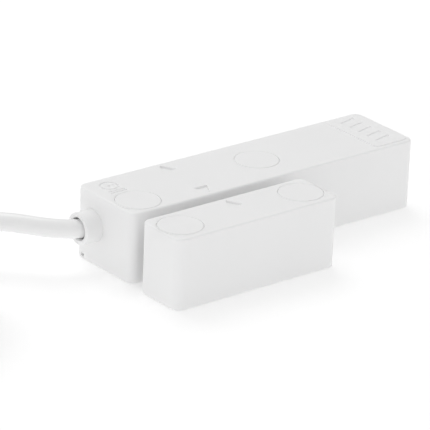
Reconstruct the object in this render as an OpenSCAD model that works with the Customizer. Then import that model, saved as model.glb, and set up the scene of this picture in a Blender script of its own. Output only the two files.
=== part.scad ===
// Wired magnetic door contact: sensor unit with cable, and magnet unit beside it.
// +X runs from the cable end to the plain end, +Y from the magnet unit to the sensor unit, +Z up.
// The origin is under the middle of the two units, on the surface that they stand on.

/* [Sensor unit] */
// Length of the sensor housing
sensor_length = 75.4; // [74:0.2:80]
// Width of the sensor housing
sensor_width = 19; // [19:0.2:21]
// Height of both housings
housing_height = 15.5; // [15:0.1:17]
// Wall thickness of the sensor housing
sensor_wall = 1.8; // [1.6:0.1:2]
// Distance of the end screw from the cable end and from the front face
end_screw_inset = 5.6; // [5.5:0.1:5.8]
// Distance of the middle screw from the cable end
mid_screw_x = 39.7; // [39:0.1:41]

/* [Magnet unit] */
// Length of the magnet housing
magnet_length = 41.6; // [41:0.2:44]
// Width of the magnet housing
magnet_width = 12.4; // [12.2:0.1:13]
// Gap between the two units with the door closed
unit_gap = 3.2; // [2:0.2:6]
// Distance of each magnet screw from its end of the housing
magnet_screw_inset = 5.2; // [5.2:0.1:5.6]

/* [Screws and caps] */
// Radius of the holes for the fixing screws
screw_hole_r = 2.1; // [1.7:0.1:2.2]
// Radius of the wells that the screw heads sit in
well_r = 3.7; // [3.5:0.1:3.8]
// Thickness of the floor under each screw head
well_floor = 3; // [2.5:0.1:3.5]
// Radius of the round screw caps
cap_r = 4.7; // [4.5:0.05:4.72]
// Height of the screw caps
cap_height = 1.6; // [1.4:0.1:1.8]

/* [Cable] */
// Diameter of the cable's sheath
cable_d = 4; // [3.8:0.1:4]
// Length of the boss that the cable leaves through
boss_length = 3.9; // [3:0.1:5]
// Outer radius of the boss
boss_r = 3.45; // [3.3:0.05:3.6]
// Radius of the boss's bore
boss_bore_r = 2.3; // [2.25:0.05:2.4]

/* [Hidden] */
$fn = 96;
eps = 0.01;

// Both housings
corner_r = 1.9;
top_t = 2;
plate_t = 1.5;
plate_rebate = 1.6;
plate_rim = 0.9;
plate_gap = 0.12;
post_r = 4.6;
seat_r = cap_r + 0.1;
seat_z = housing_height - cap_height;
cavity_top = housing_height - top_t;
mark_depth = 0.45;
pad_height = 0.2;

// Places in the sensor unit, from its lower front corner at the cable end
sensor_screws = [[end_screw_inset, end_screw_inset], [mid_screw_x, sensor_width / 2]];
boss_y = 13.1;
boss_z = 8.6;
boss_mouth_r = 2.5;
boss_flare = 0.8;
sheath_y = 13;
sheath_r = cable_d / 2;
sheath_end_x = 14;
mark_x = 20.6;

// Places in the magnet unit, from its lower front corner at the left end
magnet_screws = [for (x = [magnet_screw_inset, magnet_length - magnet_screw_inset])
    [x, magnet_width / 2]];
magnet_pocket_inset = 8.4;
magnet_wall = 1.4;
magnet_size = [20, 7, 5];
magnet_z = 4;

// Where the two units' corners lie from the origin
sensor_corner = [-(sensor_length - boss_length) / 2, -(sensor_width - unit_gap - magnet_width) / 2, 0];
magnet_corner = sensor_corner + [-0.3, -unit_gap - magnet_width, 0];

// Circuit board and what it carries
board_x = [11, 72.6];
board_y = [3, 16];
board_z = 4;
board_t = 1;
board_top = board_z + board_t;
pillars = [[13.2, 8.5], [13.2, 14.4], [70.4, 5], [70.4, 14]];
reed_y = 5.5;
reed_z = 6.5;
reed_start = mark_x - 7;
reed_leads = [reed_start - 1.3, reed_start + 16];
blade_pivot = reed_start + 11.6;
lead_r = 0.28;
resistor_x = 57;

// Cable inside the sensor unit: each core's points from the sheath to its solder pad
core_r = 0.5;
core_spread = 0.62;
low_z = boss_z - core_spread;
high_z = boss_z + core_spread;
near_y = sheath_y - core_spread;
far_y = sheath_y + core_spread;
pad_z = board_top + core_r + 0.05;
core_points = [
    [[14, near_y, high_z], [16, near_y, high_z], [22, 11.7, 8.6], [26, 11.2, 6.8], [28, 11, pad_z], [29.6, 11, pad_z]],
    [[14, near_y, low_z], [15.5, near_y, low_z], [18.5, 11.9, 6.6], [20.5, 11.7, pad_z], [22.5, 11.6, pad_z]],
    [[14, far_y, low_z], [15.5, far_y, low_z], [18.5, 13.7, 6.6], [20.5, 14, pad_z], [22.5, 14.1, pad_z]],
    [[14, far_y, high_z], [16, far_y, high_z], [22, 14, 8.6], [26, 14.5, 6.8], [28, 14.7, pad_z], [29.6, 14.7, pad_z]]];

// Free cable: from inside the boss, past the sensor's end, down to the surface and into the hank
cable_points = [
    [1.9, 13, 8.6], [0, 13, 8.57], [-1.9, 13.12, 8.55], [-3.8, 13.42, 8.6], [-5.65, 13.98, 8.75],
    [-7.4, 14.8, 8.93], [-9.05, 15.85, 9.12], [-10.6, 17.1, 9.32], [-12.1, 18.5, 9.5], [-13.5, 20, 9.62],
    [-14.9, 21.6, 9.65], [-17.3, 24.1, 9.5], [-20, 26.2, 9.05], [-23, 27.7, 8.2], [-26.4, 28.5, 7],
    [-30, 28.6, 5.6], [-33.6, 28.6, 4.2], [-37.2, 28.6, 3], [-40.8, 28.6, 2.3], [-44.4, 28.6, 2.05],
    [-48, 28.6, 2.02]];
tube_sides = 8;

// Hank: two loops joined by straight runs that a tie pulls together at the waist
hank_run = 64;
hank_layers = 5;
hank_outer_r = 4.5 * cable_d;
hank_pinch = 10;
hank_centre = [-46 - hank_run / 2, 12.6, 0];
hank_height = hank_layers * cable_d;
waist_half = hank_outer_r - hank_pinch;
tie_t = 0.8;
tie_width = 4.2;
free_end = [8, -3.5];
free_core_length = 22;

// ---- shared shapes ----

module at_sensor() translate(sensor_corner) children();

module at_magnet() translate(magnet_corner) children();

module at_each(places) {
    for (place = places)
        translate([place[0], place[1], 0]) children();
}

// A rectangle with round corners, from the origin
module rounded_rectangle(size, radius) {
    translate([radius, 0]) square([size[0] - 2 * radius, size[1]]);
    translate([0, radius]) square([size[0], size[1] - 2 * radius]);
    for (x = [radius, size[0] - radius], y = [radius, size[1] - radius])
        translate([x, y]) circle(r = radius);
}

// The outline of a housing, drawn in on every side
module bar_outline(size, inset = 0) {
    translate([inset, inset])
        rounded_rectangle([size[0] - 2 * inset, size[1] - 2 * inset], max(corner_r - inset, 0.8));
}

// A cylinder between two points
module rod(a, b, radius) {
    d = b - a;
    translate(a)
        rotate([0, acos(d[2] / norm(d)), atan2(d[1], d[0])])
            cylinder(r = radius, h = norm(d), $fn = 24);
}

// Well for a screw's head, seat for its cap, and the screw's hole
module screw_well() {
    translate([0, 0, -1]) cylinder(r = screw_hole_r, h = well_floor + 2);
    translate([0, 0, well_floor]) cylinder(r = well_r, h = housing_height);
    translate([0, 0, seat_z]) cylinder(r = seat_r, h = cap_height + 1);
}

// Arrow sunk into the top, with its tip at the origin and pointing along +Y
module alignment_arrow() {
    translate([0, 0, housing_height - mark_depth])
        linear_extrude(mark_depth + 1)
            polygon([[0, 0], [-1.85, -3.5], [1.85, -3.5]]);
}

// Cap with a skirt that presses into the seat
module screw_cap() {
    skirt_t = 0.75;
    lid_t = 0.9;
    translate([0, 0, seat_z + 0.02])
        difference() {
            cylinder(r = cap_r, h = cap_height - 0.02);
            translate([0, 0, -1]) cylinder(r = cap_r - skirt_t, h = cap_height + 1 - lid_t);
        }
}

// ---- tubes swept along points ----

function unit(v) = v / norm(v);

function tangent(points, i) =
    unit(points[min(i + 1, len(points) - 1)] - points[max(i - 1, 0)]);

// Points of one ring round a point of the line, upright against +Z
function ring(points, i, radius, sides) =
    let (t = tangent(points, i), side = unit(cross(t, [0, 0, 1])), up = cross(side, t))
    [for (k = [0 : sides - 1])
        let (a = 360 * (k + 0.5) / sides)
        points[i] + radius * (cos(a) * side + sin(a) * up)];

// A tube along points that never stand on end
module tube(points, radius, sides) {
    rings = [for (i = [0 : len(points) - 1]) each ring(points, i, radius, sides)];
    last = (len(points) - 1) * sides;
    walls = [for (i = [0 : len(points) - 2], k = [0 : sides - 1])
        let (a = i * sides + k, b = i * sides + (k + 1) % sides)
        [a, b, b + sides, a + sides]];
    start = [for (k = [sides - 1 : -1 : 0]) k];
    end = [for (k = [0 : sides - 1]) last + k];
    polyhedron(rings, concat(walls, [start, end]), convexity = 4);
}

// A smooth line through hand-chosen points, with more points between them
function smooth(points, steps) =
    concat([for (i = [0 : len(points) - 2], s = [0 : steps - 1])
        let (
            p0 = points[max(i - 1, 0)],
            p1 = points[i],
            p2 = points[i + 1],
            p3 = points[min(i + 2, len(points) - 1)],
            t = s / steps)
        0.5 * (2 * p1 + (p2 - p0) * t + (2 * p0 - 5 * p1 + 4 * p2 - p3) * t * t
            + (3 * p1 - p0 - 3 * p2 + p3) * t * t * t)],
        [points[len(points) - 1]]);

// ---- sensor unit ----

// The end post fills the housing's corner, with one round corner of its own
module end_post_outline(extra) {
    reach = end_screw_inset + post_r + extra;
    translate(sensor_screws[0]) circle(r = post_r + extra);
    square([reach, end_screw_inset]);
    square([end_screw_inset, reach]);
}

// The space inside the sensor housing, with a step for the base plate
module sensor_cavity() {
    translate([0, 0, -1])
        linear_extrude(cavity_top + 1)
            bar_outline([sensor_length, sensor_width], sensor_wall);
    translate([0, 0, -1])
        linear_extrude(plate_rebate + 1)
            bar_outline([sensor_length, sensor_width], plate_rim);
}

// Blank pad for a label at the plain end, with five slanted grooves
module label_pad() {
    pad = [9, 17];
    groove = [4.2, 0.8];
    translate([sensor_length - pad[0] - 1, 1, housing_height - 0.5])
        difference() {
            linear_extrude(0.5 + pad_height) rounded_rectangle(pad, 1.3);
            for (i = [0 : 4])
                translate([pad[0] / 2 - groove[0] / 2, 2.2 + 2.9 * i, 0.5])
                    linear_extrude(1)
                        polygon([[0, 0], [groove[0], 1], [groove[0], 1 + groove[1]], [0, groove[1]]]);
        }
}

// Moulding stamp: a ring with a dot and a tick inside it, and two bars beside it
module moulding_stamp() {
    depth = 0.25;
    translate([5.2, 14.9, housing_height - depth])
        linear_extrude(1) {
            difference() {
                circle(r = 2.1);
                circle(r = 1.65);
            }
            circle(r = 0.35);
            translate([0.6, -0.15]) square([0.75, 0.3]);
        }
    for (y = [11.2, 12])
        translate([3.2, y, housing_height - depth]) cube([4, 0.4, 1]);
}

// Small slot low on the cable end, to prise the base plate out with
module pry_slot() {
    translate([-1, 16, 0.4]) cube([1.6, 1, 0.75]);
}

module sensor_housing() color("white") at_sensor() difference() {
    union() {
        difference() {
            linear_extrude(housing_height) bar_outline([sensor_length, sensor_width]);
            sensor_cavity();
        }
        intersection() {
            linear_extrude(cavity_top + eps) {
                end_post_outline(0);
                translate(sensor_screws[1]) circle(r = post_r);
            }
            linear_extrude(housing_height) bar_outline([sensor_length, sensor_width], 0.2);
        }
        translate([-boss_length, boss_y, boss_z])
            rotate([0, 90, 0]) cylinder(r = boss_r, h = boss_length + 0.5);
        label_pad();
    }
    at_each(sensor_screws) screw_well();
    translate([-boss_length, boss_y, boss_z]) rotate([0, 90, 0]) {
        translate([0, 0, -1]) cylinder(r = boss_bore_r, h = boss_length + sensor_wall + 2);
        cylinder(r1 = boss_mouth_r, r2 = boss_bore_r, h = boss_flare);
    }
    translate([mark_x, 18.1, 0]) alignment_arrow();
    translate([mark_x, 0.95, 0]) mirror([0, 1, 0]) alignment_arrow();
    moulding_stamp();
    pry_slot();
}

// Plate that closes the sensor housing from below, with pillars and pins for the board
module sensor_base_plate() color("white") at_sensor() {
    difference() {
        linear_extrude(plate_t)
            difference() {
                bar_outline([sensor_length, sensor_width], plate_rim + plate_gap);
                end_post_outline(plate_gap);
                translate(sensor_screws[1]) circle(r = post_r + plate_gap);
            }
        for (x = [50, 58, 66])
            translate([x, 4, plate_t - 0.5]) cube([1.2, 11, 1]);
    }
    at_each(pillars) {
        translate([0, 0, plate_t - 0.1]) cylinder(r = 1.2, h = board_z - plate_t + 0.1);
        cylinder(r = 0.5, h = board_top + 0.4);
    }
    for (x = [24, 56], y = [1.95, 16.15])
        translate([x, y, plate_t - 0.1]) cube([5, 0.9, 4.5]);
}

module sensor_cap_end() color("white") at_sensor() translate(sensor_screws[0]) screw_cap();

module sensor_cap_mid() color("white") at_sensor() translate(sensor_screws[1]) screw_cap();

// Board with holes for the middle post, the plate's pins and the leads
module circuit_board() color("darkgreen") at_sensor() difference() {
    translate([board_x[0], board_y[0], board_z])
        cube([board_x[1] - board_x[0], board_y[1] - board_y[0], board_t]);
    translate([0, 0, board_z - 1]) {
        translate(sensor_screws[1]) cylinder(r = post_r + 0.2, h = 3);
        at_each(pillars) cylinder(r = 0.6, h = 3);
        at_each([for (x = reed_leads) [x, reed_y]]) cylinder(r = 0.4, h = 3);
        at_each([for (x = [-4.2, 4.2], y = [6.3, 12.7]) [resistor_x + x, y]])
            cylinder(r = 0.35, h = 3);
    }
}

// Sealed glass capsule, along X from the origin
module reed_glass() color("palegreen", 0.5) at_sensor()
    translate([reed_start, reed_y, reed_z])
        rotate([0, 90, 0])
            rotate_extrude()
                polygon([[0.3, 0], [0.7, 0], [0.95, 0.25], [1.1, 0.8], [1.1, 13.2], [0.95, 13.75],
                    [0.7, 14], [0.3, 14], [0.3, 12.4], [0.6, 12], [0.8, 11.6], [0.8, 2.4],
                    [0.6, 2], [0.3, 1.6]]);

// Lead from the board up to the capsule's axis and along it to x_end
module reed_lead(foot_x, x_end) {
    overrun = 0.35 * sign(foot_x - x_end);
    translate([foot_x, reed_y, board_z - 0.6])
        cylinder(r = lead_r - 0.02, h = reed_z - board_z + 0.6, $fn = 24);
    rod([foot_x + overrun, reed_y, reed_z], [x_end, reed_y, reed_z], lead_r);
}

// Flat contact blade on one side of the capsule's axis
module reed_blade(x_from, x_to, z_off) {
    translate([x_from, reed_y - 0.6, reed_z + z_off - 0.1]) cube([x_to - x_from, 1.2, 0.2]);
}

module reed_fixed_blade() color("silver") at_sensor() {
    reed_lead(reed_leads[0], reed_start + 2.8);
    reed_blade(reed_start + 2.5, mark_x + 0.6, 0.13);
}

module reed_moving_blade() color("silver") at_sensor()
    reed_blade(mark_x - 0.6, blade_pivot, -0.13);

module reed_moving_lead() color("silver") at_sensor()
    reed_lead(reed_leads[1], blade_pivot + 0.1);

// Axial resistor on the board, at the given distance from the front face
module resistor(y) {
    axis_z = board_top + 1.15;
    foot = 4.2;
    translate([resistor_x - 2.6, y, axis_z])
        rotate([0, 90, 0])
            rotate_extrude()
                polygon([[0, 0], [0.7, 0], [1.05, 0.4], [1.05, 1.1], [0.85, 1.5], [0.85, 3.7],
                    [1.05, 4.1], [1.05, 4.8], [0.7, 5.2], [0, 5.2]]);
    for (s = [-1, 1]) {
        translate([resistor_x + s * foot, y, board_z - 0.6])
            cylinder(r = 0.24, h = axis_z - board_z + 0.6, $fn = 24);
        rod([resistor_x + s * (foot + 0.35), y, axis_z], [resistor_x + s * 2, y, axis_z], 0.26);
    }
}

module alarm_resistor() color("tan") at_sensor() resistor(6.3);

module end_of_line_resistor() color("lightblue") at_sensor() resistor(12.7);

module cable_sheath_end() color("whitesmoke") at_sensor()
    rod([1.9, sheath_y, boss_z], [sheath_end_x, sheath_y, boss_z], sheath_r);

// Small tie round the sheath just behind the end wall, with its head on top
module strain_relief_tie() color("ivory") at_sensor()
    translate([sensor_wall + 0.1, sheath_y, boss_z])
        difference() {
            union() {
                rotate([0, 90, 0]) cylinder(r = 2.45, h = 1.6);
                translate([0, -1.6, 2.1]) cube([1.6, 3.2, 2.2]);
            }
            translate([-1, 0, 0]) rotate([0, 90, 0]) cylinder(r = sheath_r + 0.02, h = 4);
        }

module core(i) at_sensor() tube(smooth(core_points[i], 3), core_r, 8);

module core_red() color("red") core(0);

module core_black() color("black") core(1);

module core_yellow() color("yellow") core(2);

module core_blue() color("blue") core(3);

// ---- magnet unit ----

// The pocket between the two posts
module magnet_pocket_outline(extra) {
    difference() {
        translate([magnet_pocket_inset + extra, magnet_wall + extra])
            square([magnet_length - 2 * magnet_pocket_inset - 2 * extra,
                magnet_width - 2 * magnet_wall - 2 * extra]);
        at_each(magnet_screws) circle(r = post_r + extra);
    }
}

module magnet_housing() color("white") at_magnet() difference() {
    linear_extrude(housing_height) bar_outline([magnet_length, magnet_width]);
    difference() {
        translate([0, 0, -1]) linear_extrude(cavity_top + 1) magnet_pocket_outline(0);
        for (y = [3.2, 9.2])
            translate([magnet_length / 2 - 6, y - 0.5, magnet_z + magnet_size[2] + 0.05])
                cube([12, 1, cavity_top]);
    }
    at_each(magnet_screws) screw_well();
    translate([magnet_length / 2, magnet_width - 0.95, 0]) alignment_arrow();
}

// Plate in the pocket's mouth, with two saddles that carry the magnet
module magnet_base_plate() color("white") at_magnet() {
    linear_extrude(plate_t) magnet_pocket_outline(plate_gap);
    for (x = [-6, 6])
        translate([magnet_length / 2 + x - 0.75, 0, 0]) {
            translate([0, magnet_wall + 0.3, plate_t - 0.1])
                cube([1.5, magnet_width - 2 * magnet_wall - 0.6, magnet_z - plate_t + 0.1]);
            for (y = [magnet_wall + 0.3, magnet_width - magnet_wall - 1.1])
                translate([0, y, magnet_z - 0.1]) cube([1.5, 0.8, 3.1]);
        }
}

module magnet_cap_left() color("white") at_magnet() translate(magnet_screws[0]) screw_cap();

module magnet_cap_right() color("white") at_magnet() translate(magnet_screws[1]) screw_cap();

module bar_magnet() color("dimgray") at_magnet()
    translate([(magnet_length - magnet_size[0]) / 2, (magnet_width - magnet_size[1]) / 2, magnet_z])
        cube(magnet_size);

// ---- free cable ----

module cable_run() color("whitesmoke") at_sensor() tube(smooth(cable_points, 2), sheath_r, tube_sides);

// Half width of the hank's run of loop radius r, at x from the waist
function run_half(r, x) = r - hank_pinch * (1 + cos(360 * x / hank_run)) / 2;

// Outline of the hank at loop radius r: a loop at each end and two pinched runs
function hank_outline(r) =
    let (n = 24)
    concat(
        [for (i = [0 : n]) let (a = -90 + 180 * i / n) [hank_run / 2 + r * cos(a), r * sin(a)]],
        [for (i = [1 : n - 1]) let (x = hank_run * (0.5 - i / n)) [x, run_half(r, x)]],
        [for (i = [0 : n]) let (a = 90 + 180 * i / n) [-hank_run / 2 + r * cos(a), r * sin(a)]],
        [for (i = [1 : n - 1]) let (x = hank_run * (i / n - 0.5)) [x, -run_half(r, x)]]);

module at_hank() at_sensor() translate(hank_centre) children();

// Outer shape of the folded cable, with a place on top for the stripped cores
module cable_hank() color("whitesmoke") at_hank() difference() {
    linear_extrude(hank_height) polygon(hank_outline(hank_outer_r));
    translate([-tie_width / 2, -50, -1]) cube([tie_width, 100, tie_t + 1]);
    translate([0, 0, hank_height - cable_d])
        linear_extrude(cable_d + 1)
            polygon([[free_end[0], -1.3], [free_end[0], -5.6], [34, -14.5], [34, -3]]);
}

// Flat tie round the hank's waist, with its twisted ends on top
module hank_tie() color("dimgray") at_hank() {
    translate([-tie_width / 2, 0, 0]) {
        difference() {
            translate([0, -waist_half - tie_t, 0])
                cube([tie_width, 2 * (waist_half + tie_t), hank_height + tie_t]);
            translate([-1, -waist_half, tie_t]) cube([tie_width + 2, 2 * waist_half, hank_height - tie_t]);
        }
    }
    rod([0, 0, hank_height + tie_t + 0.5], [9, 3, hank_height + tie_t + 0.5], 0.9);
}

// Four stripped cores at the free end, fanned out along the hank's front run
module cable_end_cores() color("tomato") at_hank()
    for (y = [-core_spread, core_spread], z = [-core_spread, core_spread])
        let (height = hank_height - sheath_r + z)
            rod([free_end[0], free_end[1] + y, height],
                [free_end[0] + free_core_length, -9.5 + 3 * y + z, height],
                core_r);

sensor_housing();
sensor_base_plate();
sensor_cap_end();
sensor_cap_mid();
circuit_board();
reed_glass();
reed_fixed_blade();
reed_moving_blade();
reed_moving_lead();
alarm_resistor();
end_of_line_resistor();
cable_sheath_end();
strain_relief_tie();
core_red();
core_black();
core_yellow();
core_blue();
magnet_housing();
magnet_base_plate();
magnet_cap_left();
magnet_cap_right();
bar_magnet();
cable_run();
cable_hank();
hank_tie();
cable_end_cores();
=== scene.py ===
"""Wired magnetic door contact: the looks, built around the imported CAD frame.

Lengths are in metres in the CAD's frame. The mesh builders work in millimetres, as part.scad does,
from the lower front corner of the sensor unit or of the magnet unit, and scale by MM at the end.
"""
from math import asin, atan2, cos, pi, radians, sin, sqrt, tau

import bmesh
import bpy
from mathutils import Matrix, Quaternion, Vector


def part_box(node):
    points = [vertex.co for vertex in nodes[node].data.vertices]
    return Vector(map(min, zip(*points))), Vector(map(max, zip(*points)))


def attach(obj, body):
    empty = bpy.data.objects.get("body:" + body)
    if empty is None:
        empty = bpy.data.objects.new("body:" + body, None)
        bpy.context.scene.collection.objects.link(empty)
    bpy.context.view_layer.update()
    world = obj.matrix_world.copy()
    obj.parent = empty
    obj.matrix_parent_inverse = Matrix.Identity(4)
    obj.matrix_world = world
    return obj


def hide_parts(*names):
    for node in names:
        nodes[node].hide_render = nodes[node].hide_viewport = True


MM = 0.001
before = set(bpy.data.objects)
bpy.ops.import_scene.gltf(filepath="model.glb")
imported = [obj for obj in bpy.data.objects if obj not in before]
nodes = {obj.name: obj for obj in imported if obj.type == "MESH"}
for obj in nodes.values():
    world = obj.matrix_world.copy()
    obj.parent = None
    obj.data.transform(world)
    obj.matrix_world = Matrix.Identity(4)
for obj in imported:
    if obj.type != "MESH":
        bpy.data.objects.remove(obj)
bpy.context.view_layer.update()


def size_of(node):
    """Lowest corner and side lengths of a CAD node, the lengths in millimetres."""
    low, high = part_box(node)
    return low, (high - low) / MM


# ---- sizes, from the CAD frame where it shows them ----

BOSS_LENGTH = 3.9
PAD_HEIGHT = 0.2
sensor_low, sensor_size = size_of("sensor_housing")
magnet_low, magnet_size = size_of("magnet_housing")
SENSOR = sensor_low + Vector((BOSS_LENGTH * MM, 0, 0))
MAGNET = magnet_low
LENGTH, WIDTH = sensor_size.x - BOSS_LENGTH, sensor_size.y
HEIGHT = magnet_size.z


def centre_from(node, corner):
    """Middle of a CAD node in plan, in millimetres from a unit's corner."""
    low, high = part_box(node)
    middle = ((low + high) / 2 - corner) / MM
    return middle.x, middle.y


SENSOR_SCREWS = [centre_from(n, SENSOR) for n in ("sensor_cap_end", "sensor_cap_mid")]
MAGNET_SCREWS = [centre_from(n, MAGNET) for n in ("magnet_cap_left", "magnet_cap_right")]
CAP_R = size_of("sensor_cap_end")[1].x / 2
SEAT_R = CAP_R + 0.1
SEAT_Z = HEIGHT - 1.6
WELL_R, WELL_FLOOR, SCREW_HOLE_R, POST_R = 3.7, 3.0, 2.1, 4.6
CORNER_R, TOP_FILLET, FOOT_FILLET = 1.9, 0.45, 0.25
CEILING, WALL = HEIGHT - 2, 1.8
REBATE, REBATE_WALL = 1.6, 0.9
BOSS_Y, BOSS_Z, BOSS_R = 13.1, 8.6, 3.45
BORE_R, MOUTH_R, FLARE = 2.3, 2.5, 0.8
MARK_X, MARK_DEPTH, MARK_MARGIN = 20.6, 0.45, 0.95
SENSOR_MARKS = ((MARK_X, 18.1), 1), ((MARK_X, MARK_MARGIN), -1)
ARROW_LENGTH, ARROW_HALF_WIDTH, ARROW_CORNER_R = 3.5, 1.85, 0.14
STAMP_CENTRE, STAMP_R, STAMP_INNER_R, STAMP_DEPTH = (5.2, 14.9), 2.14, 1.61, 0.25
BAR_X, BAR_YS, BAR_LENGTH, BAR_WIDTH = 3.2, (11.2, 12), 4, 0.4
PAD_WIDTH, PAD_DEPTH, PAD_MARGIN, PAD_CORNER_R = 9, 17, 1, 1.3
GROOVES, GROOVE_STEP, GROOVE_START, GROOVE_LENGTH = 5, 2.9, 2.2, 4.2
SNAP_RIB = 0.07
PRY_SLOT, PRY_SLOT_DEPTH = ((16, 0.4), (17, 0.4), (17, 1.15), (16, 1.15)), 0.6
MAGNET_WALL, POCKET_INSET = 1.4, 8.4
RIB_YS, RIB_LENGTH, RIB_WIDTH, RIB_FOOT = (3.2, 9.2), 12, 1, 9.05

CABLE_D = 4 * MM
CORE_D = 1.0

# ---- outlines: one (centre x, centre y, radius, angle) for each point, anticlockwise ----


def round_outline(corners, radius, steps=6):
    """A convex polygon with round corners."""
    points = []
    count = len(corners)
    for i in range(count):
        before, here, after = (Vector(corners[(i + k) % count]) for k in (-1, 0, 1))
        come, go = (here - before).normalized(), (after - here).normalized()
        turn = atan2(come.x * go.y - come.y * go.x, come.dot(go))
        start = atan2(-come.x, come.y)
        inward = (go - come).normalized()
        centre = here + inward * radius / cos(turn / 2)
        points += [(centre.x, centre.y, radius, start + turn * k / steps) for k in range(steps + 1)]
    return points


def round_rectangle(x, y, width, depth, radius, steps=6):
    corners = [(x, y), (x + width, y), (x + width, y + depth), (x, y + depth)]
    return round_outline(corners, radius, steps)


def circle_outline(centre, radius, count=64):
    return [(*centre, radius, tau * k / count) for k in range(count)]


def arrow_outline(tip, direction):
    """The alignment arrow: tip, and +1 or -1 for the way along Y that it points."""
    x, y = tip
    back = y - ARROW_LENGTH * direction
    half = ARROW_HALF_WIDTH * direction
    return round_outline([(x, y), (x - half, back), (x + half, back)], ARROW_CORNER_R, 4)


def arc(centre, radius, start, end, steps):
    """Points of an arc, its angles in degrees."""
    angles = [radians(start + (end - start) * k / steps) for k in range(steps + 1)]
    return [(centre[0] + radius * cos(a), centre[1] + radius * sin(a)) for a in angles]


# ---- meshes ----


class Builder:
    """A mesh made of rings of points, in millimetres from a corner of the object."""

    def __init__(self, corner):
        self.mesh = bmesh.new()
        self.corner = corner

    def ring(self, points):
        return [self.mesh.verts.new(self.corner + Vector(p) * MM) for p in points]

    def flat_ring(self, points, z):
        return self.ring([(x, y, z) for x, y in points])

    def bridge(self, low, high, leave_out=()):
        """Walls between two rings that have as many points."""
        count = len(low)
        for i in range(count):
            if i not in leave_out:
                j = (i + 1) % count
                self.mesh.faces.new((low[i], low[j], high[j], high[i]))

    def loft(self, outline, profile):
        """Walls along a profile of (inset, z) steps. Gives the first ring and the last."""
        rings = [
            self.ring([(x + (r - inset) * cos(a), y + (r - inset) * sin(a), z)
                       for x, y, r, a in outline])
            for inset, z in profile
        ]
        self.bridge_all(rings)
        return rings[0], rings[-1]

    def bridge_all(self, rings):
        for low, high in zip(rings, rings[1:]):
            self.bridge(low, high)

    def fill(self, outer, *holes):
        """One flat region, inside the outer ring and outside the holes."""
        edges = []
        for ring in (outer, *holes):
            for a, b in zip(ring, ring[1:] + ring[:1]):
                edges.append(self.mesh.edges.get((a, b)) or self.mesh.edges.new((a, b)))
        bmesh.ops.triangle_fill(self.mesh, use_beauty=True, edges=edges)

    def disc(self, ring):
        self.mesh.faces.new(ring)

    def solid(self, rings):
        """Walls along the rings, with a flat face at each end."""
        self.bridge_all(rings)
        self.disc(rings[0])
        self.disc(rings[-1])

    def piece(self, name, material, body, sharp=38, replaces=(), slot=None):
        """Turns the mesh into a piece that rides on a body."""
        bmesh.ops.recalc_face_normals(self.mesh, faces=self.mesh.faces)
        data = bpy.data.meshes.new(name)
        self.mesh.to_mesh(data)
        self.mesh.free()
        data.shade_smooth()
        data.set_sharp_from_angle(angle=radians(sharp))
        made = bpy.data.objects.new(name, data)
        bpy.context.collection.objects.link(made)
        normals = made.modifiers.new("even_flats", "WEIGHTED_NORMAL")
        normals.keep_sharp = True
        return add_piece(made, material, body, replaces)


def add_piece(made, material, body, replaces=()):
    made.data.materials.append(material)
    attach(made, body)
    if replaces:
        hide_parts(*replaces)
    return made


# ---- materials ----


def node_of(tree, kind, **inputs):
    made = tree.nodes.new(kind)
    for name, value in inputs.items():
        made.inputs[name.replace("_", " ")].default_value = value
    return made


def mottled(name, light, dark, patch_m, roughness, grain_m, grain_depth, **shader):
    """A material whose colour and gloss drift between patches, with a fine grain on its surface."""
    material = bpy.data.materials.new(name)
    material.use_nodes = True
    tree = material.node_tree
    bsdf = tree.nodes["Principled BSDF"]
    for socket, value in shader.items():
        bsdf.inputs[socket.replace("_", " ")].default_value = value
    place = tree.nodes.new("ShaderNodeTexCoord").outputs["Object"]

    patches = node_of(tree, "ShaderNodeTexNoise", Scale=1 / patch_m, Detail=4.0, Roughness=0.55)
    tree.links.new(place, patches.inputs["Vector"])
    ramp = tree.nodes.new("ShaderNodeValToRGB")
    ramp.color_ramp.elements[0].position, ramp.color_ramp.elements[1].position = 0.3, 0.7
    ramp.color_ramp.elements[0].color = (*dark, 1)
    ramp.color_ramp.elements[1].color = (*light, 1)
    tree.links.new(patches.outputs["Fac"], ramp.inputs["Fac"])
    tree.links.new(ramp.outputs["Color"], bsdf.inputs["Base Color"])

    gloss = node_of(tree, "ShaderNodeMapRange")
    gloss.inputs["To Min"].default_value, gloss.inputs["To Max"].default_value = roughness
    tree.links.new(patches.outputs["Fac"], gloss.inputs["Value"])
    tree.links.new(gloss.outputs["Result"], bsdf.inputs["Roughness"])

    grain = node_of(tree, "ShaderNodeTexNoise", Scale=1 / grain_m, Detail=3.0, Roughness=0.6)
    tree.links.new(place, grain.inputs["Vector"])
    bump = node_of(tree, "ShaderNodeBump", Strength=0.35, Distance=grain_depth)
    tree.links.new(grain.outputs["Fac"], bump.inputs["Height"])
    tree.links.new(bump.outputs["Normal"], bsdf.inputs["Normal"])
    return material


def tinted(name, colour, patch_m=0.012, spread=0.06, roughness=(0.32, 0.42), grain_m=0.0003,
           grain_depth=0.00002, **shader):
    """A mottled material whose two colours lie a small spread below and at the colour."""
    dark = tuple(c * (1 - spread) for c in colour)
    return mottled(name, colour, dark, patch_m, roughness, grain_m, grain_depth, **shader)


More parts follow.
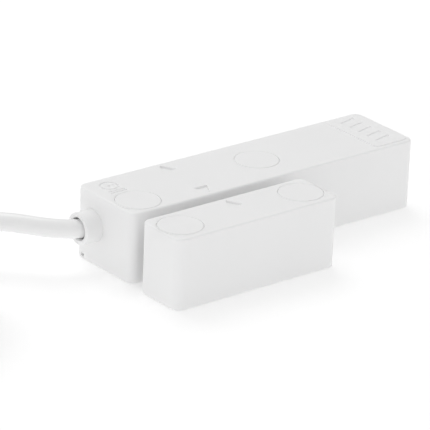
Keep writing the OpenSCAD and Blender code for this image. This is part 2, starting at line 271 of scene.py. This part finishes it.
SCATTER = {"Subsurface_Radius": (1, 1, 1), "Subsurface_Scale": 0.0007}
HOUSING = tinted("moulded_white", (0.94, 0.94, 0.94), 0.02, 0.02, (0.36, 0.46), 0.00035, 0.000012,
                 Subsurface_Weight=0.4, **SCATTER)
CAP = tinted("cap_white", (0.94, 0.94, 0.94), 0.006, 0.02, (0.32, 0.4), 0.0003, 0.00001,
             Subsurface_Weight=0.1, **SCATTER)
SHEATH = tinted("sheath_white", (0.97, 0.97, 0.97), 0.02, 0.03, (0.24, 0.32), 0.0012, 0.00003,
                Subsurface_Weight=0.1, Coat_Weight=0.35, Coat_Roughness=0.12, **SCATTER)
BOARD = tinted("solder_mask", (0.03, 0.2, 0.08), 0.01, 0.25, (0.25, 0.35), 0.0006, 0.00002)
STEEL = tinted("plated_steel", (0.72, 0.71, 0.69), 0.002, 0.12, (0.18, 0.3), 0.0001, 0.000004,
               Metallic=1.0)
SOLDER = tinted("solder", (0.7, 0.71, 0.73), 0.001, 0.15, (0.2, 0.35), 0.0003, 0.00001,
                Metallic=1.0)
COPPER = tinted("copper", (0.85, 0.45, 0.25), 0.001, 0.2, (0.22, 0.35), 0.0002, 0.00001,
                Metallic=1.0)
CAPSULE = tinted("capsule_glass", (0.93, 0.99, 0.95), 0.004, 0.05, (0.03, 0.06), 0.001, 0.000004,
                 Transmission_Weight=1.0, IOR=1.47)
TRACK = tinted("track_under_mask", (0.06, 0.33, 0.14), 0.004, 0.15, (0.22, 0.3), 0.0004, 0.00001)
RESISTOR_TAN = tinted("lacquer_tan", (0.68, 0.5, 0.3), 0.001, 0.15, (0.3, 0.4), 0.0003, 0.00001)
RESISTOR_BLUE = tinted("lacquer_blue", (0.25, 0.45, 0.65), 0.001, 0.15, (0.3, 0.4), 0.0003, 0.00001)
NYLON = tinted("nylon", (0.75, 0.74, 0.7), 0.003, 0.06, (0.35, 0.5), 0.0004, 0.00001)
FERRITE = tinted("sintered_ferrite", (0.06, 0.06, 0.065), 0.0015, 0.5, (0.5, 0.75), 0.0004, 0.00005)
CORES = {
    "red": tinted("core_red_pvc", (0.62, 0.03, 0.02)),
    "black": tinted("core_black_pvc", (0.015, 0.015, 0.015)),
    "yellow": tinted("core_yellow_pvc", (0.8, 0.6, 0.03)),
    "blue": tinted("core_blue_pvc", (0.03, 0.12, 0.5)),
}

BANDS = {
    "brown": tinted("band_brown", (0.14, 0.05, 0.02)),
    "black": tinted("band_black", (0.015, 0.015, 0.015)),
    "red": tinted("band_red", (0.55, 0.03, 0.02)),
    "gold": tinted("band_gold", (0.7, 0.5, 0.15), Metallic=0.8),
}

# ---- camera ----

AIM = Vector((-0.0059, 0.0088, 0.0048))
CAMERA_DISTANCE = 0.7104
CAMERA_AZIMUTH, CAMERA_ELEVATION, CAMERA_ROLL = radians(-39.03), radians(22.92), radians(2.27)
LENS = 284.1


def add_camera():
    level = cos(CAMERA_ELEVATION)
    back = Vector((sin(CAMERA_AZIMUTH) * level, -cos(CAMERA_AZIMUTH) * level,
                   sin(CAMERA_ELEVATION)))
    data = bpy.data.cameras.new("camera")
    data.lens, data.clip_start, data.clip_end = LENS, 0.01, 10
    camera = bpy.data.objects.new("camera", data)
    bpy.context.collection.objects.link(camera)
    camera.location = AIM + back * CAMERA_DISTANCE
    camera.rotation_mode = "QUATERNION"
    aimed = (-back).to_track_quat("-Z", "Y")
    camera.rotation_quaternion = aimed @ Quaternion((0, 0, 1), CAMERA_ROLL)
    bpy.context.scene.camera = camera


# ---- free cable: the route's first points, from the sensor's corner, then the hank's turns ----

CABLE_POINTS = [
    (1.9, 13, 8.6), (0, 13, 8.57), (-1.9, 13.12, 8.55), (-3.8, 13.42, 8.6),
    (-5.65, 13.98, 8.75), (-7.4, 14.8, 8.93), (-9.05, 15.85, 9.12), (-10.6, 17.1, 9.32),
    (-12.1, 18.5, 9.5), (-13.5, 20, 9.62), (-14.9, 21.6, 9.65), (-17.3, 24.1, 9.5),
    (-20, 26.2, 9.05), (-23, 27.7, 8.2), (-26.4, 28.5, 7), (-30, 28.6, 5.6),
    (-33.6, 28.6, 4.2), (-37.2, 28.6, 3), (-40.8, 28.6, 2.3), (-44.4, 28.6, 2.05),
    (-48, 28.6, 2.02),
]
HANK_RUN, HANK_PINCH, HANK_LAYERS = 64, 10, 5
HANK_CENTRE = Vector((-46 - HANK_RUN / 2, 12.6, 0))
INNER_R, OUTER_R = 12, 16
TIE_T, TIE_WIDTH, TIE_REACH = 0.6, 4.2, 18
STEP = CABLE_D / MM
POINTS_A_TURN = 40
# The turns' places, as (radius, layer), in the order that the cable takes them: inwards on the
# first layer, outwards on the next, and so on
PLACES = [(radius, layer) for layer in range(HANK_LAYERS)
          for radius in ((OUTER_R, INNER_R), (INNER_R, OUTER_R))[layer % 2]]
FIRST_CHANGE, CHANGE_EVERY, ACROSS, UP = 0.92, 0.87, 0.16, 0.1
HANK_START, HANK_END = 0.04, 8.685


def run_half(radius, x):
    """Half width of the hank's run of that loop radius, at x from its waist."""
    return radius - HANK_PINCH * (1 + cos(tau * x / HANK_RUN)) / 2


def round_hank(radius, share):
    """Where a turn is after a share of it: back run, left loop, front run, right loop."""
    run = HANK_RUN / (2 * HANK_RUN + tau * (INNER_R + OUTER_R) / 2)
    half = HANK_RUN / 2
    share %= 1
    side, share = (1, share) if share < 0.5 else (-1, share - 0.5)
    if share < run:
        x = half - HANK_RUN * share / run
        return Vector((x * side, run_half(radius, x) * side, 0))
    angle = pi / 2 + pi * (share - run) / (0.5 - run)
    return Vector(((-half + radius * cos(angle)) * side, radius * sin(angle) * side, 0))


def ease(t):
    t = min(max(t, 0), 1)
    return t * t * t * (10 - 15 * t + 6 * t * t)


def hank_point(turns):
    """The cable's centre after that many turns, in millimetres from the sensor's corner."""
    radius, layer = PLACES[0]
    for k in range(1, len(PLACES)):
        change = FIRST_CHANGE + CHANGE_EVERY * (k - 1)
        width = ACROSS if PLACES[k][1] == PLACES[k - 1][1] else UP
        share = ease((turns - change) / width + 0.5)
        radius += (PLACES[k][0] - PLACES[k - 1][0]) * share
        layer += (PLACES[k][1] - PLACES[k - 1][1]) * share
    point = round_hank(radius, turns)
    lift = TIE_T * ease(1 - abs(point.x) / TIE_REACH) if abs(point.y) < OUTER_R else 0
    point.z = STEP * (0.5 + layer) + lift
    return HANK_CENTRE + point


def add_cable():
    """The cable from inside the boss to the stripped end, as one smooth curve."""
    first, last = HANK_START * POINTS_A_TURN, HANK_END * POINTS_A_TURN
    turns = [k / POINTS_A_TURN for k in range(int(first) + 1, int(last) + 1)] + [HANK_END]
    route = [Vector(p) for p in CABLE_POINTS] + [hank_point(t) for t in turns]
    data = bpy.data.curves.new("cable", "CURVE")
    data.dimensions = "3D"
    data.bevel_depth, data.bevel_resolution, data.resolution_u = CABLE_D / 2, 7, 4
    data.use_fill_caps = True
    spline = data.splines.new("BEZIER")
    spline.bezier_points.add(len(route) - 1)
    for knot, point in zip(spline.bezier_points, route):
        knot.co = SENSOR + point * MM
        knot.handle_left_type = knot.handle_right_type = "AUTO"
    cable = bpy.data.objects.new("cable", data)
    bpy.context.collection.objects.link(cable)
    add_piece(cable, SHEATH, "sensor", ("cable_run", "cable_hank"))
    return cable


def smooth(points, parts=5):
    """A Catmull-Rom curve through the points, as a list of points."""
    ends = [2 * points[0] - points[1], *points, 2 * points[-1] - points[-2]]
    curve = []
    for a, b, c, d in zip(ends, ends[1:], ends[2:], ends[3:]):
        for k in range(parts):
            t = k / parts
            curve.append(0.5 * (2 * b + (c - a) * t + (2 * a - 5 * b + 4 * c - d) * t * t
                                + (3 * b - a - 3 * c + d) * t ** 3))
    return [*curve, points[-1]]


def round_ring(m, centre, side, up, radius, steps):
    """A ring round a centre, in the plane of two unit vectors."""
    angles = [tau * k / steps for k in range(steps)]
    return m.ring([centre + radius * (cos(a) * side + sin(a) * up) for a in angles])


def tube(name, points, radius, material, body="sensor", steps=12, **piece):
    """A solid wire along points that are millimetres from the sensor's corner."""
    m = Builder(SENSOR)
    first = points[1] - points[0]
    side = first.cross(Vector((0, 1, 0.3)))
    rings = []
    for i, point in enumerate(points):
        along = (points[min(i + 1, len(points) - 1)] - points[max(i - 1, 0)]).normalized()
        side = (side - side.dot(along) * along).normalized()
        up = side.cross(along)
        rings.append(round_ring(m, point, side, up, radius, steps))
    m.solid(rings)
    return m.piece(name, material, body, sharp=50, **piece)


def lathe(name, start, along, profile, material, steps=32, **piece):
    """A turned solid: its (distance, radius) profile runs from start along an axis."""
    m = Builder(SENSOR)
    along = Vector(along)
    side = along.orthogonal().normalized()
    up = along.cross(side)
    rings = [round_ring(m, Vector(start) + d * along, side, up, r, steps) for d, r in profile]
    m.solid(rings)
    return m.piece(name, material, "sensor", **piece)


END_LENGTH, END_PARTS = 24, 12
BARE_LENGTH, BARE_PARTS, BARE_R = 3.2, 4, 0.3


def add_core_ends():
    """The four stripped cores at the cable's end, with bare copper at their tips."""
    end = hank_point(HANK_END)
    along = (end - hank_point(HANK_END - 0.01)).normalized()
    side = Vector((-along.y, along.x, 0))
    made = []
    spreads = {"red": (-0.6, -0.55, -1.6), "black": (-0.6, 0.55, -0.2),
               "yellow": (0.6, -0.55, 1.7), "blue": (0.6, 0.55, 3.4)}
    for name, (across, rise, fan) in spreads.items():
        points = []
        for k in range(END_PARTS + 1):
            t = k / END_PARTS
            bend = fan * t * t + 0.5 * sin(pi * t * 1.5 + fan) * t
            points.append(end + along * (END_LENGTH * t - 1) + side * (across + bend)
                          + Vector((0, 0, rise * (1 - 0.4 * t) - 0.3 * t * t)))
        made.append(tube(f"core_end_{name}", points, CORE_D / 2, CORES[name],
                         replaces=("cable_end_cores",), slot=f"core_{name}"))
        tip = points[-1] - points[-2]
        bare = [points[-1] + tip.normalized() * (BARE_LENGTH * k / BARE_PARTS - 0.2)
                for k in range(BARE_PARTS + 1)]
        made.append(tube(f"core_tip_{name}", bare, BARE_R, COPPER))
    return made


TWIST_R, TWIST_TURNS, TWIST_LENGTH, TWIST_PARTS, STRAND_R = 0.55, 3, 9, 36, 0.5


def add_tie():
    """Flat tie round the hank's waist, with its ends twisted together on top."""
    waist = OUTER_R + STEP / 2 - HANK_PINCH + 0.1
    top = STEP * HANK_LAYERS + TIE_T
    m = Builder(SENSOR + HANK_CENTRE * MM)
    band = round_rectangle(-waist - TIE_T, 0, 2 * (waist + TIE_T), top + TIE_T, 2.4, 8)
    rings = []
    edge = 0.12
    section = ((0, edge), (edge, 0), (TIE_T - edge, 0), (TIE_T, edge), (TIE_T, TIE_WIDTH - edge),
               (TIE_T - edge, TIE_WIDTH), (edge, TIE_WIDTH), (0, TIE_WIDTH - edge))
    for inset, x in section:
        rings.append(m.ring([(x - TIE_WIDTH / 2, y + (r - inset) * cos(a), z + (r - inset) * sin(a))
                             for y, z, r, a in band]))
    m.bridge_all([*rings, rings[0]])
    tie = m.piece("hank_tie_band", NYLON, "sensor", replaces=("hank_tie",), slot="tie_nylon")
    made = [tie]
    for strand in (0, pi):
        points = []
        for k in range(TWIST_PARTS + 1):
            t = k / TWIST_PARTS
            wind = TWIST_R * min(1, t * 6)
            angle = strand + tau * TWIST_TURNS * t
            points.append(HANK_CENTRE + Vector((0.4 + TWIST_LENGTH * t,
                                                2.4 * t * t + wind * cos(angle),
                                                top + TIE_T + 0.75 + wind * sin(angle))))
        made.append(tube(f"hank_tie_end_{len(made)}", points, STRAND_R, NYLON, slot="tie_nylon"))
    return made


# ---- housings ----

LIP = 0.08


def recess(m, outline, depth, top=HEIGHT):
    """A shallow sunk shape with a soft rim. Gives the ring in the top face."""
    profile = [(-0.07, top), (-0.02, top - 0.02), (0, top - 0.07), (0, top - depth + 0.06),
               (0.02, top - depth + 0.02), (0.07, top - depth)]
    rim, floor = m.loft(outline, profile)
    m.fill(floor)
    return rim


def screw_well(m, centre):
    """Cap seat, screw well and screw hole, right through. Gives the top rim and the lower rim."""
    well, hole = SEAT_R - WELL_R, SEAT_R - SCREW_HOLE_R
    profile = [(-LIP, HEIGHT), (-0.03, HEIGHT - 0.03), (0, HEIGHT - LIP), (0, SEAT_Z),
               (well, SEAT_Z), (well, WELL_FLOOR), (hole, WELL_FLOOR), (hole, 0.15),
               (hole - 0.12, 0)]
    return m.loft(circle_outline(centre, SEAT_R), profile)


def outer_skin(m, length, width):
    """The sides of a housing, with round edges. Gives its foot, low, high and top rings."""
    outline = round_rectangle(0, 0, length, width, CORNER_R, 10)
    foot = [(FOOT_FILLET * (1 - sin(a)), FOOT_FILLET * (1 - cos(a)))
            for a in (0, pi / 6, pi / 3, pi / 2)]
    head = [(TOP_FILLET * (1 - cos(a)), HEIGHT - TOP_FILLET * (1 - sin(a)))
            for a in (0, pi / 8, pi / 4, 3 * pi / 8, pi / 2)]
    foot_ring, low = m.loft(outline, foot)
    high, top = m.loft(outline, head)
    return foot_ring, low, high, top


def stamp(m):
    """The moulding stamp: a sunk ring with a dot and a tick inside. Gives the ring's outer rim."""
    down = [(0, HEIGHT), (0.02, HEIGHT - 0.02), (0.04, HEIGHT - 0.06), (0.04, HEIGHT - STAMP_DEPTH)]
    rim, floor = m.loft(circle_outline(STAMP_CENTRE, STAMP_R, 48), down)
    inner = [(-i, z) for i, z in down]
    island, inner_floor = m.loft(circle_outline(STAMP_CENTRE, STAMP_INNER_R, 48), inner)
    m.fill(floor, inner_floor)
    x, y = STAMP_CENTRE
    dot = recess(m, circle_outline(STAMP_CENTRE, 0.35, 24), STAMP_DEPTH)
    tick = recess(m, round_rectangle(x + 0.6, y - 0.15, 0.75, 0.3, 0.1, 3), STAMP_DEPTH)
    m.fill(island, dot, tick)
    return rim


def label_pad(m):
    """The raised blank pad at the plain end, with five slanted grooves. Gives its root ring."""
    x, y = LENGTH - PAD_WIDTH - PAD_MARGIN, PAD_MARGIN
    top = HEIGHT + PAD_HEIGHT
    edge = [(-0.07, HEIGHT), (-0.02, HEIGHT + 0.02), (0, HEIGHT + 0.07), (0, top - 0.08),
            (0.02, top - 0.02), (0.08, top)]
    root, rim = m.loft(round_rectangle(x, y, PAD_WIDTH, PAD_DEPTH, PAD_CORNER_R, 8), edge)
    grooves = []
    for k in range(GROOVES):
        left, low = x + PAD_WIDTH / 2 - GROOVE_LENGTH / 2, y + GROOVE_START + GROOVE_STEP * k
        right = left + GROOVE_LENGTH
        corners = [(left, low), (right, low + 1), (right, low + 1.8), (left, low + 0.8)]
        grooves.append(recess(m, round_outline(corners, 0.18, 4), PAD_HEIGHT, top))
    m.fill(rim, *grooves)
    return root


def sensor_inside(inset, radius, post_r):
    """Outline of the sensor housing's inside, round the post that fills its front corner."""
    x, y = SENSOR_SCREWS[0]
    far_x, far_y = LENGTH - inset - radius, WIDTH - inset - radius
    return ([(inset, y + post_r)] + arc((x, y), post_r, 90, 0, 12) + [(x + post_r, inset)]
            + arc((far_x, inset + radius), radius, -90, 0, 5)
            + arc((far_x, far_y), radius, 0, 90, 5)
            + arc((inset + radius, far_y), radius, 90, 180, 5))


def ring_facing_x(m, x, radius, count=64):
    """A ring round the boss's axis, at x."""
    angles = [tau * k / count for k in range(count)]
    return m.ring([(x, BOSS_Y + radius * cos(a), BOSS_Z + radius * sin(a)) for a in angles])


def sensor_housing():
    m = Builder(SENSOR)
    foot, low, high, top = outer_skin(m, LENGTH, WIDTH)
    cable_side = len(low) - 1
    m.bridge(low, high, leave_out=[cable_side])

    boss = [(BOSS_R + 0.16, 0), (BOSS_R + 0.05, -0.05), (BOSS_R, -0.16),
            (BOSS_R, 0.2 - BOSS_LENGTH), (BOSS_R - 0.06, 0.06 - BOSS_LENGTH),
            (BOSS_R - 0.2, -BOSS_LENGTH), (MOUTH_R + 0.1, -BOSS_LENGTH),
            (MOUTH_R + 0.02, 0.03 - BOSS_LENGTH), (MOUTH_R - 0.03, 0.12 - BOSS_LENGTH),
            (BORE_R, FLARE - BOSS_LENGTH), (BORE_R, WALL)]
    boss_rings = [ring_facing_x(m, x, r) for r, x in boss]
    m.bridge_all(boss_rings)
    slot_mouth, slot_floor = (m.ring([(x, y, z) for y, z in PRY_SLOT]) for x in (0, PRY_SLOT_DEPTH))
    m.bridge(slot_mouth, slot_floor)
    m.disc(slot_floor)
    m.fill([low[-1], low[0], high[0], high[-1]], boss_rings[0], slot_mouth)

    wells = [screw_well(m, centre) for centre in SENSOR_SCREWS]
    marks = [recess(m, arrow_outline(tip, way), MARK_DEPTH) for tip, way in SENSOR_MARKS]
    bars = [recess(m, round_rectangle(BAR_X, y, BAR_LENGTH, BAR_WIDTH, 0.15, 3), STAMP_DEPTH)
            for y in BAR_YS]
    m.fill(top, *[well[0] for well in wells], *marks, *bars, stamp(m), label_pad(m))

    step = 0.05
    rebate = sensor_inside(REBATE_WALL, 1.0, POST_R)
    space = sensor_inside(WALL, 0.8, POST_R - step)
    rings = [m.flat_ring(rebate, 0), m.flat_ring(rebate, REBATE), m.flat_ring(space, REBATE)]
    m.bridge_all(rings)
    ceiling = m.flat_ring(space, CEILING)
    m.bridge(rings[-1], ceiling, leave_out=[len(ceiling) - 1])
    m.fill([rings[-1][-1], rings[-1][0], ceiling[0], ceiling[-1]], boss_rings[-1])
    post_foot, post_top = m.loft(circle_outline(SENSOR_SCREWS[1], POST_R), [(0, 0), (0, CEILING)])
    m.fill(ceiling, post_top)
    m.fill(foot, rings[0], wells[0][1])
    m.fill(post_foot, wells[1][1])
    return m.piece("sensor_shell", HOUSING, "sensor", replaces=("sensor_housing",),
                   slot="housing_white")


def magnet_housing():
    m = Builder(MAGNET)
    length, width = magnet_size.x, magnet_size.y
    foot, low, high, top = outer_skin(m, length, width)
    m.bridge(low, high)
    wells = [screw_well(m, centre) for centre in MAGNET_SCREWS]
    mark = recess(m, arrow_outline((length / 2, width - MARK_MARGIN), 1), MARK_DEPTH)
    m.fill(top, *[well[0] for well in wells], mark)

    (left_x, y), (right_x, _) = MAGNET_SCREWS
    reach = POCKET_INSET - left_x
    half = asin(sqrt(POST_R ** 2 - reach ** 2) / POST_R) * 180 / pi
    near, far = MAGNET_WALL, width - MAGNET_WALL
    pocket = ([(POCKET_INSET, near), (length - POCKET_INSET, near)]
              + arc((right_x, y), POST_R, 180 + half, 180 - half, 16)
              + [(length - POCKET_INSET, far), (POCKET_INSET, far)]
              + arc((left_x, y), POST_R, half, -half, 16))
    mouth, ceiling = m.flat_ring(pocket, 0), m.flat_ring(pocket, CEILING)
    m.bridge(mouth, ceiling)
    ribs = []
    for rib_y in RIB_YS:
        outline = round_rectangle(length / 2 - RIB_LENGTH / 2, rib_y - RIB_WIDTH / 2, RIB_LENGTH,
                                  RIB_WIDTH, 0.2, 3)
        root, end = m.loft(outline, [(0, CEILING), (0, RIB_FOOT)])
        m.fill(end)
        ribs.append(root)
    m.fill(ceiling, *ribs)
    m.fill(foot, mouth, *[well[1] for well in wells])
    return m.piece("magnet_shell", HOUSING, "magnet_unit", replaces=("magnet_housing",),
                   slot="housing_white")


def screw_cap(node, corner, centre, body):
    m = Builder(corner)
    top, low, skirt = HEIGHT + 0.05, SEAT_Z + 0.03, 0.75
    profile = [(0.16, top), (0.07, top - 0.02), (0.02, top - 0.07), (0, top - 0.14),
               (-SNAP_RIB, top - 0.2), (-SNAP_RIB, low + 0.1), (0.1, low), (skirt - 0.08, low),
               (skirt, low + 0.08), (skirt, top - 0.9)]
    face, under = m.loft(circle_outline(centre, CAP_R, 72), profile)
    m.disc(face)
    m.disc(under)
    return m.piece(node + "_cover", CAP, body, replaces=(node,), slot="housing_white")


# ---- what the circuit board carries, in millimetres from the sensor's corner ----

BOARD_Z, BOARD_TOP = 4, 5
SHEATH_Y, CORE_SPREAD = 13, 0.62
PAD_Z = BOARD_TOP + CORE_D / 2 + 0.05
NEAR_Y, FAR_Y = SHEATH_Y - CORE_SPREAD, SHEATH_Y + CORE_SPREAD
LOW_Z, HIGH_Z = BOSS_Z - CORE_SPREAD, BOSS_Z + CORE_SPREAD
CORE_ROUTES = {
    "red": [(14, NEAR_Y, HIGH_Z), (16, NEAR_Y, HIGH_Z), (22, 11.7, 8.6), (26, 11.2, 6.8),
            (28, 11, PAD_Z)],
    "black": [(14, NEAR_Y, LOW_Z), (15.5, NEAR_Y, LOW_Z), (18.5, 11.9, 6.6), (20.5, 11.7, PAD_Z)],
    "yellow": [(14, FAR_Y, LOW_Z), (15.5, FAR_Y, LOW_Z), (18.5, 13.7, 6.6), (20.5, 14, PAD_Z)],
    "blue": [(14, FAR_Y, HIGH_Z), (16, FAR_Y, HIGH_Z), (22, 14, 8.6), (26, 14.5, 6.8),
             (28, 14.7, PAD_Z)],
}
CORE_PADS = {"red": (29.6, 11), "black": (22.5, 11.6), "yellow": (22.5, 14.1), "blue": (29.6, 14.7)}
RESISTOR_X, RESISTOR_FOOT, RESISTOR_Z = 57, 4.2, BOARD_TOP + 1.15
ALARM_Y, END_OF_LINE_Y, RESISTOR_LENGTH, BAND_RISE = 6.3, 12.7, 5.2, 0.015
REED_Y, REED_FEET = 5.5, (12.3, 29.6)
TRACKS = [
    [(29.6, 11), (30.4, 10.2), (30.4, 6.3), (29.6, 5.5)],
    [(22.5, 11.6), (24.6, 9.5)],
    [(22.5, 14.1), (23.6, 13), (31.5, 13), (33.4, 14.9), (50.6, 14.9), (52.8, 12.7)],
    [(29.6, 14.7), (30.7, 15.8), (58.1, 15.8), (61.2, 12.7)],
    [(12.3, 5.5), (12.3, 4.1), (12.9, 3.5), (50, 3.5), (52.8, 6.3)],
    [(61.2, 6.3), (61.2, 8.2), (59.9, 9.5), (47, 9.5)],
]


def add_track(number, path, width=0.7, thickness=0.04):
    """A copper track under the solder mask, along a path on the board."""
    m = Builder(SENSOR)
    points = [Vector(p) for p in path]
    rings = []
    for i, point in enumerate(points):
        before = (point - points[max(i - 1, 0)]).normalized()
        after = (points[min(i + 1, len(points) - 1)] - point).normalized()
        along = (before + after).normalized()
        spread = max(along.dot(after), along.dot(before))
        side = Vector((-along.y, along.x)) * width / 2 / spread
        left, right = point + side, point - side
        rings.append(m.ring([(*left, BOARD_TOP), (*left, BOARD_TOP + thickness),
                             (*right, BOARD_TOP + thickness), (*right, BOARD_TOP)]))
    m.solid(rings)
    m.piece(f"board_track_{number}", TRACK, "sensor", slot="board_green")


def add_board_cores():
    """Each core from the sheath to its pad: insulation, tinned tip and solder."""
    for name, route in CORE_ROUTES.items():
        points = smooth([Vector(p) for p in route])
        pad = Vector((*CORE_PADS[name], BOARD_TOP))
        tube(f"core_lead_{name}", points, CORE_D / 2, CORES[name], steps=20,
             replaces=(f"core_{name}",), slot=f"core_{name}")
        last = points[-1]
        tip = smooth([last - Vector((0.3, 0, 0)), last, pad + Vector((-0.7, 0, 0.42)),
                      pad + Vector((0.3, 0, 0.3))])
        tube(f"core_tinned_{name}", tip, 0.28, SOLDER)
        lathe(f"core_joint_{name}", pad, (0, 0, 1),
              [(0, 1.05), (0.06, 1.03), (0.2, 0.9), (0.42, 0.66), (0.62, 0.36), (0.7, 0.1)], SOLDER)


def add_resistor(node, y, material, bands):
    """An axial resistor: lacquered body, colour bands and bent wire leads."""
    start = (RESISTOR_X - RESISTOR_LENGTH / 2, y, RESISTOR_Z)
    profile = [(0, 0.3), (0.05, 0.55), (0.2, 0.82), (0.42, 0.98), (0.65, 1.05), (1.0, 1.05),
               (1.22, 0.98), (1.42, 0.88), (1.6, 0.85)]
    profile += [(RESISTOR_LENGTH - d, r) for d, r in reversed(profile)]
    lathe(f"{node}_body", start, (1, 0, 0), profile, material, replaces=(node,))
    places = ((0.68, 1.05), (1.75, 0.85), (2.45, 0.85), (4.15, 1.05))
    for (place, radius), colour in zip(places, bands):
        raised = radius + BAND_RISE
        band = [(place, radius), (place + 0.02, raised), (place + 0.33, raised),
                (place + 0.35, radius)]
        lathe(f"{node}_band_{colour}", start, (1, 0, 0), band, BANDS[colour])
    for side in (-1, 1):
        bends = ((RESISTOR_FOOT, BOARD_Z - 0.6), (RESISTOR_FOOT, 5.6), (4.12, 5.95), (3.88, 6.12),
                 (3.5, 6.15), (2.5, 6.15))
        lead = [Vector((RESISTOR_X + side * x, y, z)) for x, z in bends]
        tube(f"{node}_lead_{'left' if side < 0 else 'right'}", smooth(lead, 3), 0.25, STEEL)


def add_through_joints():
    """Solder under the board, round each lead that passes through it."""
    feet = [(x, REED_Y) for x in REED_FEET]
    feet += [(RESISTOR_X + side * RESISTOR_FOOT, y) for y in (ALARM_Y, END_OF_LINE_Y)
             for side in (-1, 1)]
    for number, (x, y) in enumerate(feet):
        lathe(f"through_joint_{number}", (x, y, BOARD_Z), (0, 0, -1),
              [(0, 0.85), (0.05, 0.83), (0.15, 0.6), (0.35, 0.4), (0.6, 0.3)], SOLDER, steps=24)


# ---- CAD nodes that keep their shape ----


SOFT_EDGES = {"bar_magnet": 0.45, "strain_relief_tie": 0.15}


def dress(node, material):
    """Gives a CAD node its material, and soft edges where its shape allows them."""
    shown = nodes[node]
    shown.data.materials.clear()
    shown.data.materials.append(material)
    if node in SOFT_EDGES:
        bevel = shown.modifiers.new("soft_edges", "BEVEL")
        bevel.width, bevel.segments = SOFT_EDGES[node] * MM, 2
        bevel.limit_method, bevel.angle_limit = "ANGLE", radians(50)


FLOOR_GREY, FLOOR_GLOW, WORLD_LIGHT = 0.9, 0.25, 0.7


def add_stage():
    bpy.ops.mesh.primitive_plane_add(size=6, location=(0, 0, -0.0002))
    floor = bpy.context.active_object
    floor.name = "floor"
    material = bpy.data.materials.new("floor")
    material.use_nodes = True
    bsdf = material.node_tree.nodes["Principled BSDF"]
    bsdf.inputs["Base Color"].default_value = (FLOOR_GREY, FLOOR_GREY, FLOOR_GREY, 1)
    bsdf.inputs["Roughness"].default_value = 0.9
    bsdf.inputs["Emission Color"].default_value = (1, 1, 1, 1)
    bsdf.inputs["Emission Strength"].default_value = FLOOR_GLOW
    floor.data.materials.append(material)


def add_light(name, place, size, power):
    data = bpy.data.lights.new(name, "AREA")
    data.shape, data.size, data.energy = "DISK", size, power
    lamp = bpy.data.objects.new(name, data)
    bpy.context.collection.objects.link(lamp)
    lamp.location = place
    lamp.rotation_mode = "QUATERNION"
    lamp.rotation_quaternion = (AIM - Vector(place)).to_track_quat("-Z", "Y")


def add_lights():
    world = bpy.data.worlds.new("studio")
    bpy.context.scene.world = world
    world.use_nodes = True
    background = world.node_tree.nodes["Background"]
    background.inputs["Color"].default_value = (1, 1, 1, 1)
    background.inputs["Strength"].default_value = WORLD_LIGHT
    add_light("key", (0.1, 0.6, 0.9), 0.8, 2.3)
    add_light("left_fill", (-1.0, 0.3, 0.5), 0.6, 0.8)
    bpy.context.scene.view_settings.view_transform = "Standard"


add_camera()
cable = add_cable()
ends = add_core_ends()
tie = add_tie()

sensor_housing()
magnet_housing()
for cap in (
        ("sensor_cap_end", SENSOR, SENSOR_SCREWS[0], "end_cap"),
        ("sensor_cap_mid", SENSOR, SENSOR_SCREWS[1], "mid_cap"),
        ("magnet_cap_left", MAGNET, MAGNET_SCREWS[0], "left_cap"),
        ("magnet_cap_right", MAGNET, MAGNET_SCREWS[1], "right_cap")):
    screw_cap(*cap)

for node, material in {
        "sensor_base_plate": HOUSING, "magnet_base_plate": HOUSING, "circuit_board": BOARD,
        "reed_glass": CAPSULE, "reed_fixed_blade": STEEL, "reed_moving_blade": STEEL,
        "reed_moving_lead": STEEL, "cable_sheath_end": SHEATH, "strain_relief_tie": NYLON,
        "bar_magnet": FERRITE}.items():
    dress(node, material)
for number, path in enumerate(TRACKS):
    add_track(number, path)
add_board_cores()
add_resistor("alarm_resistor", ALARM_Y, RESISTOR_TAN, ("brown", "black", "red", "gold"))
add_resistor("end_of_line_resistor", END_OF_LINE_Y, RESISTOR_BLUE,
             ("brown", "red", "black", "gold"))
add_through_joints()

add_stage()
add_lights()
